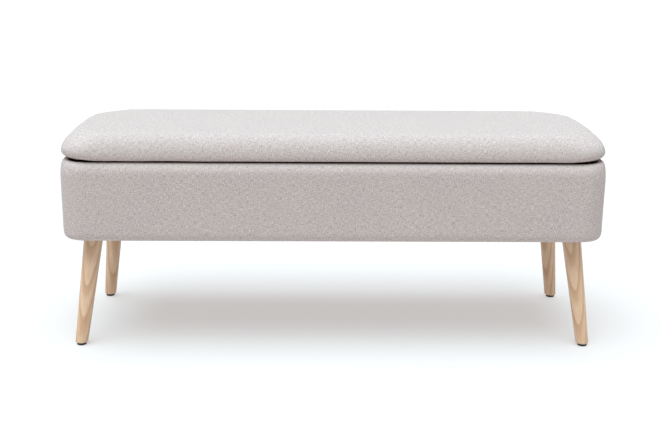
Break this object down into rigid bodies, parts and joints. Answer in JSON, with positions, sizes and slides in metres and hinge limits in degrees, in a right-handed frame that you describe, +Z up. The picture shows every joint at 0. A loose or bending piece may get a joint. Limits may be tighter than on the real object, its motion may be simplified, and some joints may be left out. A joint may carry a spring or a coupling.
{
  "type": "storage ottoman bench",
  "caption": "Long upholstered storage bench with a hinged padded lid on slotted stays, a lined box under it and splayed round tapered wooden legs.",
  "frame": {"origin": "on the floor, under the middle of the bench", "axes": "+X to the right along the bench, -Y to the front where the lid opens, +Z up"},
  "size_m": [1.2, 0.4, 0.48],
  "materials": {
    "upholstery": "plain-weave linen look, matt, mottled beige and grey",
    "lining_fabric": "non-woven lining cloth, matt",
    "dust_cloth": "spun-bonded dust cloth, matt black",
    "foam": "open-cell upholstery foam, matt",
    "plywood": "sanded plywood, raw",
    "leg_wood": "turned hardwood, clear satin lacquer",
    "glide_plastic": "black moulded plastic",
    "zinc_steel": "zinc-plated pressed steel",
    "screw_steel": "zinc-plated screws",
    "rubber": "black rubber"
  },
  "bodies": {
    "base": {"box_cover": "upholstery", "box_lining": "lining_fabric", "dust_cover": "dust_cloth", "front_foam": "foam", "rear_foam": "foam", "left_end_foam": "foam", "right_end_foam": "foam", "corner_foams": "foam", "bottom_board": "plywood", "front_panel": "plywood", "rear_panel": "plywood", "left_end_panel": "plywood", "right_end_panel": "plywood", "corner_block_front_left": "plywood", "corner_block_front_right": "plywood", "corner_block_rear_left": "plywood", "corner_block_rear_right": "plywood", "leg_front_left": "leg_wood", "leg_front_right": "leg_wood", "leg_rear_left": "leg_wood", "leg_rear_right": "leg_wood", "glide_front_left": "glide_plastic", "glide_front_right": "glide_plastic", "glide_rear_left": "glide_plastic", "glide_rear_right": "glide_plastic", "leg_plates": "zinc_steel", "hanger_bolts": "zinc_steel", "hinge_rim_leaf_left": "zinc_steel", "hinge_rim_leaf_centre": "zinc_steel", "hinge_rim_leaf_right": "zinc_steel", "hinge_pin_left": "zinc_steel", "hinge_pin_centre": "zinc_steel", "hinge_pin_right": "zinc_steel", "stay_wall_bracket_left": "zinc_steel", "stay_wall_bracket_right": "zinc_steel", "stay_stud_left": "zinc_steel", "stay_stud_right": "zinc_steel", "panel_screws": "screw_steel", "leg_plate_screws": "screw_steel", "glide_nails": "screw_steel", "hinge_rim_screws": "screw_steel", "stay_wall_screws": "screw_steel"},
    "lid": {"lid_board": "plywood", "lid_foam": "foam", "lid_cover": "upholstery", "lid_lining": "lining_fabric", "lid_bumpers": "rubber", "hinge_lid_leaf_left": "zinc_steel", "hinge_lid_leaf_centre": "zinc_steel", "hinge_lid_leaf_right": "zinc_steel", "hinge_lid_screws": "screw_steel", "stay_lid_bracket_left": "zinc_steel", "stay_lid_bracket_right": "zinc_steel", "stay_rivet_left": "zinc_steel", "stay_rivet_right": "zinc_steel", "stay_lid_screws": "screw_steel"},
    "stay_arm_left": {"stay_arm_left": "zinc_steel"},
    "stay_arm_right": {"stay_arm_right": "zinc_steel"}
  },
  "joints": [
    {"name": "lid_hinge", "type": "hinge", "parent": "base", "child": "lid", "pos_m": [0, 0.195, 0.42135], "axis": [-1, 0, 0], "range_deg": [0, 95]},
    {"name": "stay_left_pivot", "type": "hinge", "parent": "lid", "child": "stay_arm_left", "pos_m": [-0.558, 0.1174, 0.4135], "axis": [-1, 0, 0], "range_deg": [-47.5, 0]},
    {"name": "stay_right_pivot", "type": "hinge", "parent": "lid", "child": "stay_arm_right", "pos_m": [0.558, 0.1174, 0.4135], "axis": [-1, 0, 0], "range_deg": [-47.5, 0]}
  ],
  "couplings": [
    {"joint": "stay_left_pivot", "follows": "lid_hinge", "ratio": -0.5},
    {"joint": "stay_right_pivot", "follows": "lid_hinge", "ratio": -0.5}
  ]
}
